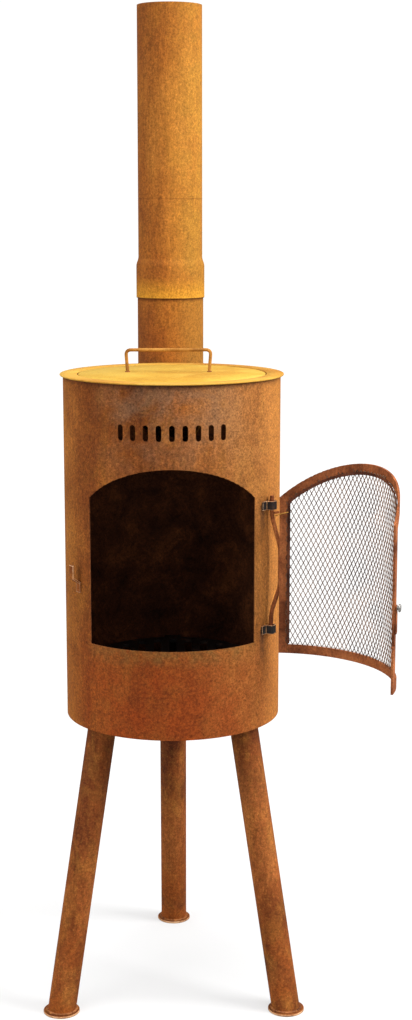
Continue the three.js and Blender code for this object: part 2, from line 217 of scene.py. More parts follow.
def soften(obj, width, edge_material=None):
    """Eases the edges. A pale material of wear and painted highlight shows on the square ones only."""
    bevel = obj.modifiers.new("soft_edges", "BEVEL")
    bevel.width = width
    bevel.segments = 2
    bevel.limit_method = "ANGLE"
    bevel.angle_limit = math.radians(60 if edge_material else 40)
    bevel.harden_normals = True
    if edge_material:
        bevel.use_clamp_overlap = False
        obj.data.materials.append(edge_material)
        bevel.material = len(obj.data.materials) - 1


def rings(loops, closed_path=False, caps=True):
    """Joins equal loops of points into a skin."""
    count = len(loops[0])
    verts = [point for loop in loops for point in loop]
    faces = []
    for i in range(len(loops) if closed_path else len(loops) - 1):
        a, b = i * count, (i + 1) % len(loops) * count
        faces += [(a + k, a + (k + 1) % count, b + (k + 1) % count, b + k) for k in range(count)]
    if caps and not closed_path:
        faces.append(tuple(reversed(range(count))))
        faces.append(tuple(range(len(verts) - count, len(verts))))
    return verts, faces


def turned(profile, segments, centre=(0.0, 0.0)):
    """A closed profile of (radius, z) pairs turned about a vertical axis."""
    loops = []
    for i in range(segments):
        angle = 2 * math.pi * i / segments
        loops.append([Vector((centre[0] + r * math.sin(angle), centre[1] - r * math.cos(angle), z))
                      for r, z in profile])
    return rings(loops, closed_path=True)


def plate_profile(inner, outer, low, high, edge):
    """The section of a flat ring whose corners are eased."""
    return [(inner, low + edge), (inner + edge, low), (outer - edge, low), (outer, low + edge),
            (outer, high - edge), (outer - edge, high), (inner + edge, high), (inner, high - edge)]


def disc_profile(outer, low, high, edge):
    """The section of a flat disc whose rim is eased."""
    rim = plate_profile(CENTRE_HOLE, outer, low, high, edge)[2:6]
    return [(CENTRE_HOLE, low), *rim, (CENTRE_HOLE, high)]


def frames(path, closed_path):
    """A side and an up direction along a path that don't twist."""
    count = len(path)
    tangents = []
    for i in range(count):
        before = path[i - 1] if closed_path or i else path[0]
        after = path[(i + 1) % count] if closed_path or i < count - 1 else path[i]
        tangents.append((after - before).normalized())
    side = tangents[0].orthogonal().normalized()
    result = []
    for tangent in tangents:
        side = (side - tangent * side.dot(tangent)).normalized()
        result.append((side, tangent.cross(side)))
    return result


def swept(path, radius, sides, closed_path=False):
    """A round bar along a path. radius is a number or a function of the point's index."""
    loops = []
    for i, (point, (side, up)) in enumerate(zip(path, frames(path, closed_path))):
        r = radius(i) if callable(radius) else radius
        loops.append([point + (side * math.cos(a) + up * math.sin(a)) * r
                      for a in (2 * math.pi * k / sides for k in range(sides))])
    return rings(loops, closed_path)


def resampled(path, spacing, closed_path):
    """Points at an even spacing along a path."""
    points = list(path) + ([path[0]] if closed_path else [])
    lengths = [0.0]
    for a, b in zip(points, points[1:]):
        lengths.append(lengths[-1] + (b - a).length)
    count = max(4, round(lengths[-1] / spacing))
    result, k = [], 0
    for i in range(count if closed_path else count + 1):
        target = lengths[-1] * i / count
        while k < len(points) - 2 and lengths[k + 1] < target:
            k += 1
        span = lengths[k + 1] - lengths[k] or 1.0
        result.append(points[k].lerp(points[k + 1], (target - lengths[k]) / span))
    return result


def weld(name, path, radius, body, closed_path=False):
    """A rippled weld bead along a path."""
    even = resampled(path, 0.45 * radius, closed_path)
    ripple = 5

    def bead(i):
        swell = perlin(even[i] * 120) * 0.18
        return radius * (0.82 + 0.22 * abs(math.sin(math.pi * i / ripple)) + swell)

    verts, faces = swept(even, bead, 8, closed_path)
    return piece(name, verts, faces, body, weld_metal, sharp=80)


def circle(radius, z, centre, steps):
    """Points round a level circle."""
    return [Vector((centre[0], centre[1], 0)) + polar(radius, 360 * i / steps, z) for i in range(steps)]


def cut_out(obj, cutters, operation="DIFFERENCE"):
    """Cuts closed meshes out of obj for good, or keeps only what is inside them."""
    for cutter in cutters:
        boolean = obj.modifiers.new("cut", "BOOLEAN")
        boolean.operation = operation
        boolean.solver = "EXACT"
        boolean.object = cutter
    graph = bpy.context.evaluated_depsgraph_get()
    graph.update()
    mesh = bpy.data.meshes.new_from_object(obj.evaluated_get(graph))
    obj.modifiers.clear()
    obj.data = mesh
    for cutter in cutters:
        bpy.data.objects.remove(cutter)


def loose(name, verts, faces):
    """A mesh object that rides on nothing yet, such as a blank or a cutter."""
    mesh = bpy.data.meshes.new(name)
    mesh.from_pydata([tuple(v) for v in verts], [], faces)
    work = bmesh.new()
    work.from_mesh(mesh)
    bmesh.ops.recalc_face_normals(work, faces=work.faces)
    work.to_mesh(mesh)
    work.free()
    obj = bpy.data.objects.new(name, mesh)
    bpy.context.scene.collection.objects.link(obj)
    return obj


def radial_wedge(name, outline):
    """A cutter through the front wall whose sides point at the drum's axis, from (along, z) pairs."""
    near, far = 0.09, 0.26
    loops = [[Vector((depth * math.tan(along / DRUM_RADIUS), -depth, z)) for along, z in outline]
             for depth in (near, far)]
    return loose(name, *rings(loops))


# ---------- materials ----------

def linear(red, green, blue):
    """A screen colour of 0 to 255 as the linear colour that a shader takes."""
    def channel(value):
        value /= 255
        return value / 12.92 if value <= 0.04045 else ((value + 0.055) / 1.055) ** 2.4
    return (channel(red), channel(green), channel(blue), 1.0)


class Shader:
    """A material whose node tree is built by short calls."""

    def __init__(self, name):
        self.material = bpy.data.materials.new(name)
        self.material.use_nodes = True
        self.tree = self.material.node_tree
        self.tree.nodes.clear()
        self.output = self.tree.nodes.new("ShaderNodeOutputMaterial")
        self.surface = self.tree.nodes.new("ShaderNodeBsdfPrincipled")
        self.tree.links.new(self.surface.outputs[0], self.output.inputs[0])
        self.place = self.tree.nodes.new("ShaderNodeTexCoord").outputs["Object"]

    def link(self, source, socket):
        if isinstance(source, bpy.types.NodeSocket):
            self.tree.links.new(source, socket)
        else:
            socket.default_value = source

    def scaled(self, x, y, z, offset=0.0):
        node = self.tree.nodes.new("ShaderNodeMapping")
        node.inputs["Scale"].default_value = (x, y, z)
        node.inputs["Location"].default_value = (offset, offset * 0.7, offset * 1.3)
        self.link(self.place, node.inputs["Vector"])
        return node.outputs[0]

    def noise(self, scale, detail=6.0, roughness=0.6, distortion=0.0, vector=None, offset=0.0):
        node = self.tree.nodes.new("ShaderNodeTexNoise")
        node.inputs["Scale"].default_value = scale
        node.inputs["Detail"].default_value = detail
        node.inputs["Roughness"].default_value = roughness
        node.inputs["Distortion"].default_value = distortion
        self.link(vector or self.scaled(1, 1, 1, offset), node.inputs["Vector"])
        return node.outputs["Fac"]

    def cells(self, scale, offset=0.0):
        node = self.tree.nodes.new("ShaderNodeTexVoronoi")
        node.inputs["Scale"].default_value = scale
        self.link(self.scaled(1, 1, 1, offset), node.inputs["Vector"])
        return node.outputs["Distance"]

    def remap(self, value, low, high, out_low=0.0, out_high=1.0):
        node = self.tree.nodes.new("ShaderNodeMapRange")
        self.link(value, node.inputs["Value"])
        for key, number in (("From Min", low), ("From Max", high), ("To Min", out_low), ("To Max", out_high)):
            node.inputs[key].default_value = number
        return node.outputs[0]

    def math(self, operation, a, b=0.0):
        node = self.tree.nodes.new("ShaderNodeMath")
        node.operation = operation
        self.link(a, node.inputs[0])
        self.link(b, node.inputs[1])
        return node.outputs[0]

    def mix(self, factor, a, b, blend="MIX"):
        node = self.tree.nodes.new("ShaderNodeMix")
        node.data_type = "RGBA"
        node.blend_type = blend
        self.link(factor, node.inputs[0])
        self.link(a, node.inputs[6])
        self.link(b, node.inputs[7])
        return node.outputs[2]

    def ramp(self, value, stops):
        node = self.tree.nodes.new("ShaderNodeValToRGB")
        band = node.color_ramp
        band.elements[0].position, band.elements[0].color = stops[0]
        band.elements[1].position, band.elements[1].color = stops[-1]
        for position, colour in stops[1:-1]:
            band.elements.new(position).color = colour
        self.link(value, node.inputs[0])
        return node.outputs[0]

    def bump(self, height, strength, distance):
        node = self.tree.nodes.new("ShaderNodeBump")
        node.inputs["Strength"].default_value = strength
        node.inputs["Distance"].default_value = distance
        self.link(height, node.inputs["Height"])
        self.link(node.outputs[0], self.surface.inputs["Normal"])

    def radius(self):
        """The distance from the drum's axis."""
        split = self.tree.nodes.new("ShaderNodeSeparateXYZ")
        self.link(self.place, split.inputs[0])
        squares = [self.math("MULTIPLY", split.outputs[i], split.outputs[i]) for i in (0, 1)]
        return self.math("SQRT", self.math("ADD", *squares))

    def height(self):
        """The height above the ground."""
        split = self.tree.nodes.new("ShaderNodeSeparateXYZ")
        self.link(self.place, split.inputs[0])
        return split.outputs[2]

    def across(self):
        """The distance to the right of the drum's axis."""
        split = self.tree.nodes.new("ShaderNodeSeparateXYZ")
        self.link(self.place, split.inputs[0])
        return split.outputs[0]

    def tint(self, colour, tone, *shares):
        """Blends a tone in by the product of the shares."""
        share = shares[0]
        for other in shares[1:]:
            share = self.math("MULTIPLY", share, other)
        return self.mix(share, colour, tone)

    def bearing(self):
        """The bearing in degrees from the front (-Y), positive to the right."""
        split = self.tree.nodes.new("ShaderNodeSeparateXYZ")
        self.link(self.place, split.inputs[0])
        turn = self.math("ARCTAN2", split.outputs[0], self.math("MULTIPLY", split.outputs[1], -1.0))
        return self.math("DEGREES", turn)


def grey(value):
    return (value, value, value, 1.0)


def rust(name, tones, bloom_tone, patch=9.0, stretch=0.3, streaks=0.35, bloom=0.4, specks=0.4, grain=0.3,
         seed=0.0, bump=0.5, marks_and_painted_light=None):
    """Rusted weathering steel: patches, upright runs, pale bloom, dark specks, own marks with painted light
    and shade, and a fine grain.
    """
    s = Shader(name)
    dark, middle, light = tones
    patches = s.noise(1.0, 7, 0.55, 0.3, vector=s.scaled(patch, patch, patch * stretch, seed))
    colour = s.ramp(patches, [(0.34, dark), (0.5, middle), (0.66, light)])

    for width, length, share in ((90, 12, 0.6), (300, 60, 1.0)):
        run = s.noise(1.0, 5, 0.65, 0.2, vector=s.scaled(width, width, length, seed))
        contrast = s.ramp(run, [(0.34, grey(0.3)), (0.66, grey(0.7))])
        colour = s.mix(streaks * share, colour, contrast, "OVERLAY")

    dust = s.noise(1.0, 9, 0.68, 0.7, vector=s.scaled(patch * 3, patch * 3, patch * 1.4, seed + 7))
    colour = s.mix(s.remap(dust, 0.48, 0.7, 0.0, bloom), colour, bloom_tone)

    flecks = s.remap(s.noise(260, 4, 0.8, offset=seed + 9), 0.56, 0.66, 0.0, bloom)
    colour = s.mix(flecks, colour, bloom_tone)

    spots = s.math("MULTIPLY", s.remap(s.cells(260, seed), 0.08, 0.3, 1.0, 0.0),
                   s.remap(s.noise(30, 5, 0.6, offset=seed + 5), 0.44, 0.58))
    colour = s.mix(s.math("MULTIPLY", spots, specks), colour, dark)

    if marks_and_painted_light:
        colour = marks_and_painted_light(s, colour, seed)

    mottle = s.noise(170, 8, 0.8, 0.3, offset=seed + 3)
    colour = s.mix(0.8 * grain, colour, s.ramp(mottle, [(0.38, grey(0.24)), (0.62, grey(0.76))]), "OVERLAY")
    fine = s.noise(340, 6, 0.85, offset=seed + 1)
    colour = s.mix(grain, colour, s.ramp(fine, [(0.38, grey(0.14)), (0.62, grey(0.88))]), "OVERLAY")

    s.link(colour, s.surface.inputs["Base Color"])
    s.link(s.remap(mottle, 0.3, 0.7, 0.7, 0.92), s.surface.inputs["Roughness"])
    s.surface.inputs["Specular IOR Level"].default_value = 0.12
    relief = s.math("ADD", mottle, s.math("MULTIPLY", fine, 0.6))
    s.bump(relief, bump, 0.5 * MM)
    return s.material


def drum_marks_and_painted_light(s, colour, seed):
    """Marks on the drum alone: painted shade on the left, painted light on the right and at both sides, heat
    tint, red foot, painted shade with dark rust under the ring, painted shadow under the straps, soot inside.
    """
    height, bearing = s.height(), s.bearing()
    cloud = s.noise(14, 6, 0.6, 0.3, offset=seed + 21)
    blotch = s.remap(s.noise(7, 5, 0.6, 0.4, offset=seed + 25), 0.4, 0.6)
    off_front = s.math("ABSOLUTE", bearing)
    front = s.remap(off_front, 22, 46, 1.0, 0.0)
    forward = s.remap(off_front, 90, 160, 1.0, 0.0)

    # Painted shade on the drum's left and painted light on its right, as from a key light on the right.
    painted_shade_left = s.remap(bearing, 0, -40, 0.0, 0.65)
    colour = s.tint(colour, linear(100, 45, 17), painted_shade_left, forward, blotch)
    painted_light_right = s.remap(bearing, 0, 36, 0.0, 0.5)
    colour = s.tint(colour, linear(192, 131, 68), painted_light_right, forward, s.remap(cloud, 0.4, 0.6, 0.55, 0.9))
    red_foot = s.remap(height, *RED_FOOT, 0.0, 0.75)
    colour = s.tint(colour, linear(140, 58, 18), red_foot, s.remap(off_front, 34, 66, 1.0, 0.4),
                    s.remap(cloud, 0.3, 0.55, 0.4, 1.0))
    # Painted light towards both sides of the drum, as from a rim light.
    painted_light_sides = s.remap(off_front, 50, 74, 0.0, 0.6)
    colour = s.tint(colour, linear(176, 112, 44), painted_light_sides, s.remap(cloud, 0.35, 0.65, 0.3, 1.0))
    heat_tint = s.remap(height, *HEAT_TINT, 0.0, 0.65)
    colour = s.tint(colour, linear(122, 90, 66), heat_tint, front, s.remap(cloud, 0.42, 0.58))
    sill_band = s.remap(height, *SILL_BAND, 0.0, 0.6)
    sill_grain = s.remap(s.noise(40, 6, 0.7, offset=seed + 15), 0.4, 0.6, 0.1, 1.0)
    colour = s.tint(colour, linear(118, 88, 44), sill_band, s.math("LESS_THAN", height, SILL_BAND_TOP),
                    s.remap(off_front, 38, 52, 1.0, 0.0), sill_grain)
    # Painted shade under the ring's overhang, mixed with dark rust there.
    ring_shade_and_stain = s.remap(height, *RING_SHADE_AND_STAIN, 0.0, 0.75)
    colour = s.tint(colour, linear(58, 30, 18), ring_shade_and_stain, s.remap(cloud, 0.35, 0.6, 0.7, 1.0))

    # Painted shadow on the drum below the foot of each hinge strap.
    off_strap = s.math("ABSOLUTE", s.math("SUBTRACT", bearing, STRAP_BEARING))
    for low in STRAP_FEET.values():
        across = s.remap(off_strap, 1.0, 3.2, 0.78, 0.0)
        below = s.remap(height, low - 55 * MM, low, 0.0, 1.0)
        colour = s.tint(colour, linear(70, 44, 30), across, below, s.math("LESS_THAN", height, low + 8 * MM))

    inside = s.remap(s.radius(), DRUM_RADIUS - 1.6 * MM, DRUM_RADIUS - 0.6 * MM, 1.0, 0.0)
    ash = s.noise(18, 8, 0.7, 0.6, offset=seed + 11)
    black = s.ramp(ash, [(0.3, linear(44, 25, 17)), (0.52, linear(92, 52, 31)), (0.74, linear(142, 84, 46))])
    return s.mix(inside, colour, black)


def flue_marks_and_painted_light(s, colour, seed):
    """Marks on the flue alone: painted shade on the left and painted light on the right, a brown bell, a gold
    rim, a painted shadow under it and a scribed line.
    """
    cloud = s.noise(11, 6, 0.6, 0.3, offset=seed + 21)
    height, side = s.height(), s.math("SUBTRACT", s.across(), FLUE.x)
    # Painted shade on the flue's left and painted light on its right, as from a key light on the right.
    flue_painted_shade_left = s.remap(side, 0.0, -0.04, 0.0, 0.5)
    colour = s.tint(colour, linear(104, 50, 26), flue_painted_shade_left, s.remap(cloud, 0.3, 0.6, 0.4, 1.0))
    flue_painted_light_right = s.remap(side, -0.01, 0.03, 0.0, 0.65)
    colour = s.tint(colour, linear(172, 124, 44), flue_painted_light_right, s.remap(cloud, 0.35, 0.6, 0.3, 1.0))
    bell_brown = s.remap(height, *BELL_BROWN, 0.0, 0.35)
    colour = s.tint(colour, linear(112, 58, 26), bell_brown, s.math("LESS_THAN", height, BELL_HIGH),
                    s.remap(cloud, 0.4, 0.58))
    gold_rim = s.remap(height, *GOLD_RIM, 0.0, 0.75)
    colour = s.tint(colour, linear(206, 146, 44), gold_rim, s.math("GREATER_THAN", height, pipe_low.z))
    # Painted shadow on the tee just under the bell's mouth.
    tee_shade = s.remap(height, *TEE_SHADE, 0.0, 0.8)
    colour = s.tint(colour, linear(70, 34, 18), tee_shade, s.math("LESS_THAN", height, pipe_low.z + MM))
    off_line = s.math("ABSOLUTE", s.math("SUBTRACT", height, SCRIBED_LINE))
    return s.tint(colour, linear(92, 46, 20), s.remap(off_line, 0.0, 1.6 * MM, 0.5, 0.0),
                  s.remap(cloud, 0.4, 0.5, 0.3, 1.0))


def leg_marks_and_painted_shade(s, colour, seed):
    """Marks on the legs alone: red-brown painted shade under the drum and orange towards the feet."""
    cloud = s.remap(s.noise(18, 6, 0.6, 0.3, offset=seed + 21), 0.38, 0.58)
    height = s.height()
    # Painted shade on the legs under the drum.
    colour = s.tint(colour, linear(84, 36, 18), s.remap(height, *LEG_PAINTED_SHADE, 0.0, 0.6), cloud)
    return s.tint(colour, linear(150, 76, 26), s.remap(height, *LEG_ORANGE, 0.0, 0.55), cloud)


def scale_black(name, seed=0.0):
    """Black heat scale with thin rust showing through."""
    s = Shader(name)
    flakes = s.noise(60, 8, 0.7, 0.4, offset=seed)
    tones = [(0.35, linear(22, 18, 17)), (0.55, linear(40, 30, 26)), (0.72, linear(98, 58, 36))]
    colour = s.ramp(flakes, tones)
    fine = s.noise(900, 3, offset=seed + 2)
    colour = s.mix(0.3, colour, s.ramp(fine, [(0.3, grey(0.2)), (0.7, grey(0.8))]), "OVERLAY")
    s.link(colour, s.surface.inputs["Base Color"])
    s.link(s.remap(flakes, 0.3, 0.7, 0.5, 0.85), s.surface.inputs["Roughness"])
    s.surface.inputs["Metallic"].default_value = 0.25
    s.bump(s.math("ADD", flakes, s.math("MULTIPLY", fine, 0.3)), 0.5, 0.4 * MM)
    return s.material


def dull_steel(name):
    """Grey zinc-plated steel with scratches and dull spots."""
    s = Shader(name)
    cloud = s.noise(90, 7, 0.65)
    scratch = s.noise(1.0, 4, 0.6, vector=s.scaled(2600, 300, 900))
    colour = s.ramp(cloud, [(0.3, linear(118, 116, 112)), (0.7, linear(176, 173, 168))])
    colour = s.mix(0.3, colour, s.ramp(scratch, [(0.4, grey(0.3)), (0.6, grey(0.75))]), "OVERLAY")
    s.link(colour, s.surface.inputs["Base Color"])
    s.link(s.remap(cloud, 0.3, 0.7, 0.32, 0.55), s.surface.inputs["Roughness"])
    s.surface.inputs["Metallic"].default_value = 0.85
    s.bump(scratch, 0.15, 0.1 * MM)
    return s.material


# The drum, flue and leg rusts carry painted light and shade through their marks.
drum_rust_and_painted_light = rust("drum_rust_and_painted_light", (linear(98, 48, 18), linear(136, 76, 30), linear(164, 100, 44)),
                 linear(178, 122, 44), patch=8, streaks=0.5, bloom=0.3, grain=0.62, seed=2.0,
                 marks_and_painted_light=drum_marks_and_painted_light)
flue_rust_and_painted_light = rust("flue_rust_and_painted_light", (linear(118, 62, 24), linear(156, 92, 32), linear(174, 112, 44)),
                 linear(176, 118, 40), patch=8, streaks=0.5, bloom=0.3, specks=0.25, grain=0.5, seed=5.0,
                 marks_and_painted_light=flue_marks_and_painted_light)
ring_rust = rust("ring_rust", (linear(164, 110, 39), linear(187, 138, 54), linear(195, 153, 68)),
                 linear(200, 164, 74), patch=7, stretch=1, streaks=0.0, bloom=0.5, specks=0.2, grain=0.2,
                 seed=9.0, bump=0.3)
lid_rust = rust("lid_rust", (linear(168, 122, 42), linear(188, 146, 55), linear(197, 161, 70)),
                linear(202, 171, 78), patch=6, stretch=1, streaks=0.0, bloom=0.5, specks=0.15, grain=0.2,
                seed=13.0, bump=0.25)
leg_rust = rust("leg_rust", (linear(80, 38, 16), linear(132, 70, 30), linear(162, 96, 46)),
                linear(188, 126, 54), patch=13, stretch=0.35, streaks=0.5, bloom=0.4, specks=0.6, grain=0.5,
                seed=17.0, marks_and_painted_light=leg_marks_and_painted_shade)
foot_rust = rust("foot_rust", (linear(84, 40, 16), linear(122, 64, 27), linear(148, 88, 40)),
                 linear(168, 108, 42), patch=16, stretch=1, streaks=0.0, bloom=0.4, seed=19.0)
# A pale edge colour that stands for wear and for a painted highlight on the edges.
wear_and_highlight_edge = rust("wear_and_highlight_edge", (linear(150, 104, 72), linear(196, 146, 104), linear(222, 180, 140)),
                 linear(222, 176, 132), patch=60, stretch=1, streaks=0.0, bloom=0.4, specks=0.7, seed=21.0)
door_rust = rust("door_rust", (linear(88, 44, 24), linear(136, 76, 44), linear(168, 100, 58)),
                 linear(173, 104, 56), patch=20, stretch=1, streaks=0.1, bloom=0.35, specks=0.7, grain=0.45,
                 seed=23.0)
mesh_rust = rust("mesh_rust", (linear(66, 48, 38), linear(104, 78, 62), linear(134, 104, 84)),
                 linear(150, 112, 80), patch=22, stretch=1, streaks=0.0, bloom=0.3, seed=27.0)
handle_rust = rust("handle_rust", (linear(110, 68, 28), linear(156, 104, 44), linear(186, 134, 64)),
                   linear(206, 156, 76), patch=26, stretch=1, streaks=0.0, bloom=0.4, seed=29.0)
hidden_rust = rust("hidden_rust", (linear(66, 36, 24), linear(104, 60, 36), linear(138, 84, 48)),
                   linear(160, 100, 54), patch=14, stretch=1, streaks=0.2, bloom=0.3, seed=31.0)
weld_metal = rust("weld_metal", (linear(86, 48, 30), linear(134, 80, 46), linear(166, 106, 62)),
                  linear(196, 130, 66), patch=60, stretch=1, streaks=0.0, bloom=0.5, specks=0.6, seed=37.0,
                  bump=0.7)
clamp_brown = rust("clamp_brown", (linear(46, 24, 18), linear(78, 42, 30), linear(110, 64, 44)),
                   linear(140, 86, 54), patch=30, stretch=1, streaks=0.0, bloom=0.3, seed=33.0)
black_scale = scale_black("black_scale", 41.0)
soot_black = scale_black("soot_black", 47.0)
stud_steel = dull_steel("stud_steel")


# ---------- drum, ring and lid ----------

def vent_outline(along):
    """The round-ended outline of an upright slot, at a distance along the wall."""
    steps, half = 10, VENT["width"] / 2
    outline = []
    for z, start in ((VENT["high"] - half, 0), (VENT["low"] + half, math.pi)):
        turns = [start + math.pi * k / steps for k in range(steps + 1)]
        outline += [(along + half * math.cos(turn), z + half * math.sin(turn)) for turn in turns]
    return outline


def build_drum():
    inner = DRUM_RADIUS - DRUM_WALL
    section = [(inner, DRUM_BOTTOM), (DRUM_RADIUS, DRUM_BOTTOM), (DRUM_RADIUS, DRUM_TOP), (inner, DRUM_TOP)]
    wall = loose("drum_wall", *turned(section, 192))
    cutters = [radial_wedge("doorway_cut", arch_outline(DOORWAY, steps=32))]
    for i in range(VENT["count"]):
        along = along_wall((i - (VENT["count"] - 1) / 2) * VENT["pitch"])
        cutters.append(radial_wedge(f"vent_cut_{i}", vent_outline(along)))
    inside, outside = 0.08, 0.18
    cutters.append(across_drum("branch_cut", BRANCH_RADIUS + GAP, inside, outside))
    cut_out(wall, cutters)
    finished(wall, "stove", drum_rust_and_painted_light, ["drum_shell"], bevel=0.35 * MM)


def build_top():
    ring = plate_profile(RING_MOUTH, ring_high.x, ring_low.z, ring_high.z, 0.5 * MM)
    piece("ring_plate", *turned(ring, 192), "stove", ring_rust, ["top_ring"], sharp=60)
    lid = disc_profile(lid_high.x, lid_low.z, lid_high.z, 0.3 * MM)
    piece("lid_plate", *turned(lid, 192), "lid", lid_rust, ["lid_disc"], sharp=60)


def build_handle():
    middle = (handle_low + handle_high) / 2
    foot, top = handle_low.z + 0.4 * MM, handle_high.z - HANDLE_ROD
    corners = ((-HANDLE_FOOT, foot), (-HANDLE_TOP, top), (HANDLE_TOP, top), (HANDLE_FOOT, foot))
    route = [Vector((middle.x + x, middle.y, z)) for x, z in corners]
    bar = swept(rounded(route, 8 * MM), HANDLE_ROD, 18)
    piece("handle_rod", *bar, "lid", handle_rust, ["lid_handle"], sharp=60)
    for side, end in (("left", route[0]), ("right", route[-1])):
        seam = circle(HANDLE_ROD + 0.4 * MM, lid_high.z + 0.5 * MM, end.xy, 24)
        weld(f"handle_weld_{side}", seam, 1.0 * MM, "lid", closed_path=True)


# ---------- flue ----------

def across_drum(name, radius, start, stop, steps=96):
    """A cylinder along Y at the flue's branch."""
    loops = [[Vector((FLUE.x + radius * math.sin(a), y, BRANCH_Z + radius * math.cos(a)))
              for a in (2 * math.pi * k / steps for k in range(steps))] for y in (start, stop)]
    return loose(name, *rings(loops))


def build_upper_flue():
    """The pipe whose lower end widens into a bell."""
    steps = 6
    outside = [(BELL_RADIUS, pipe_low.z)]
    for i in range(steps + 1):
        t = i / steps
        ease = t * t * (3 - 2 * t)
        radius = BELL_RADIUS + (PIPE_RADIUS - BELL_RADIUS) * ease
        outside.append((radius, BELL_LOW + (BELL_HIGH - BELL_LOW) * t))
    outside.append((PIPE_RADIUS, pipe_high.z))
    inside = [(r - PIPE_WALL, z) for r, z in reversed(outside)]
    skin = turned(outside + inside, 128, FLUE)
    piece("flue_upper_pipe", *skin, "upper_flue", flue_rust_and_painted_light, ["flue_pipe"], sharp=50)


def build_lower_flue():
    """The tube under the bell and the branch that joins it to the drum."""
    inner = TEE_RADIUS - LOWER_TUBE_WALL
    section = [(inner, tee_low.z), (TEE_RADIUS, tee_low.z), (TEE_RADIUS, tee_high.z), (inner, tee_high.z)]
    tube = loose("flue_lower_tee", *turned(section, 128, FLUE))
    bore = BRANCH_RADIUS - LOWER_TUBE_WALL
    cut_out(tube, [across_drum("tee_hole", bore, 0.1, FLUE.y)])
    finished(tube, "stove", flue_rust_and_painted_light, ["flue_tee"], bevel=0.3 * MM)

    front, back = tee_low.y, FLUE.y
    branch = across_drum("flue_branch_tube", BRANCH_RADIUS, front, back)
    centre_gap, radius = 0.1 * MM, TEE_RADIUS - MM
    low, high = tee_low.z - MM, tee_high.z
    section = [(centre_gap, low), (radius, low), (radius, high), (centre_gap, high)]
    core = loose("flue_core", *turned(section, 128, FLUE))
    cut_out(branch, [across_drum("branch_bore", bore, front - MM, back + MM), core])
    finished(branch, "stove", flue_rust_and_painted_light, bevel=0.3 * MM)

    steps = 96
    seam = []
    for k in range(steps):
        turn = 2 * math.pi * k / steps
        x = BRANCH_RADIUS * math.sin(turn)
        y = FLUE.y - math.sqrt(TEE_RADIUS ** 2 - x ** 2) - 0.3 * MM
        seam.append(Vector((FLUE.x + x, y, BRANCH_Z + BRANCH_RADIUS * math.cos(turn))))
    weld("branch_weld", seam, 1.8 * MM, "stove", closed_path=True)


# ---------- legs ----------

def tilted_ring(origin, along, radius, z, steps=64):
    """Where a tilted tube's skin meets a level plane."""
    side = along.orthogonal().normalized()
    up = along.cross(side)
    ring = []
    for i in range(steps):
        a = 2 * math.pi * i / steps
        start = origin + (side * math.cos(a) + up * math.sin(a)) * radius
        ring.append(start + along * ((z - start.z) / along.z))
    return ring


def build_leg(side, bearing, top, foot):
    """A splayed tube between two level planes, with a weld bead at each end."""
    low, high = polar(foot, bearing, 0), polar(top, bearing, DRUM_BOTTOM)
    along = (high - low).normalized()
    leg_low, leg_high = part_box(f"leg_{side}")
    steps = 40
    levels = [leg_low.z + (leg_high.z - leg_low.z) * i / steps for i in range(steps + 1)]
    outer = [tilted_ring(low, along, LEG_RADIUS, z) for z in levels]
    inner = [tilted_ring(low, along, LEG_RADIUS - LEG_WALL, z) for z in reversed(levels)]
    skin = rings(outer + inner, closed_path=True)
    piece(f"leg_tube_{side}", *skin, "stove", leg_rust, [f"leg_{side}"], sharp=50)
    foot_seam = tilted_ring(low, along, LEG_RADIUS + 0.8 * MM, FOOT_THICK + 1.2 * MM)
    weld(f"leg_foot_weld_{side}", foot_seam, 2.0 * MM, "stove", closed_path=True)
    pad_seam = tilted_ring(low, along, LEG_RADIUS + 0.6 * MM, leg_high.z - 0.8 * MM)
    weld(f"leg_pad_weld_{side}", pad_seam, 1.6 * MM, "stove", closed_path=True)


def build_foot(side):
    """A round foot plate whose rim takes the pale colour of wear and painted highlight."""
    low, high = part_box(f"foot_{side}")
    centre = (low + high) / 2
    radius = (high.x - low.x) / 2
    skin = turned(disc_profile(radius, low.z, high.z, 0.5 * MM), 72, centre.xy)
    disc = piece(f"foot_plate_{side}", *skin, "stove", foot_rust, [f"foot_{side}"], sharp=60)
    disc.data.materials.append(wear_and_highlight_edge)
    for face in disc.data.polygons:
        if (face.center.xy - centre.xy).length > radius - 0.7 * MM:
            face.material_index = 1


def build_legs():
    for side, (bearing, top, foot) in LEGS.items():
        build_leg(side, bearing, top, foot)
        build_foot(side)


# ---------- door, drawn shut and swung open ----------

def curved_door_sheet(name, inner, outer, outset, inset):
    """The part of a cylinder's wall between two arched outlines, cut while the door is shut."""
    margin = 10 * MM
    low, high = DOOR["sill"] - margin, DOOR["apex"] + margin
    sheet = loose(name, *turned([(inner, low), (outer, low), (outer, high), (inner, high)], 240))
    cut_out(sheet, [radial_wedge("outer_arch", arch_outline(DOOR, outset))], "INTERSECT")
    cut_out(sheet, [radial_wedge("inner_arch", arch_outline(DOOR, inset))])
    return sheet


def swing_open(obj):
    """Turns a mesh that was drawn on the shut door to where the door rests."""
    obj.data.transform(OPENED)
    return obj


def inside_arch(along, z, inset):
    """Whether a place on the shut door is inside the arch by more than an inset."""
    side = along_wall(DOOR["half"])
    rise = DOOR["apex"] - DOOR["spring"]
    arch = (side ** 2 + rise ** 2) / (2 * rise)
    off_centre = along - along_wall(DOOR["centre"])
    if abs(off_centre) > side - inset or z < DOOR["sill"] + inset:
        return False
    return math.hypot(off_centre, z - DOOR["apex"] + arch) < arch - inset


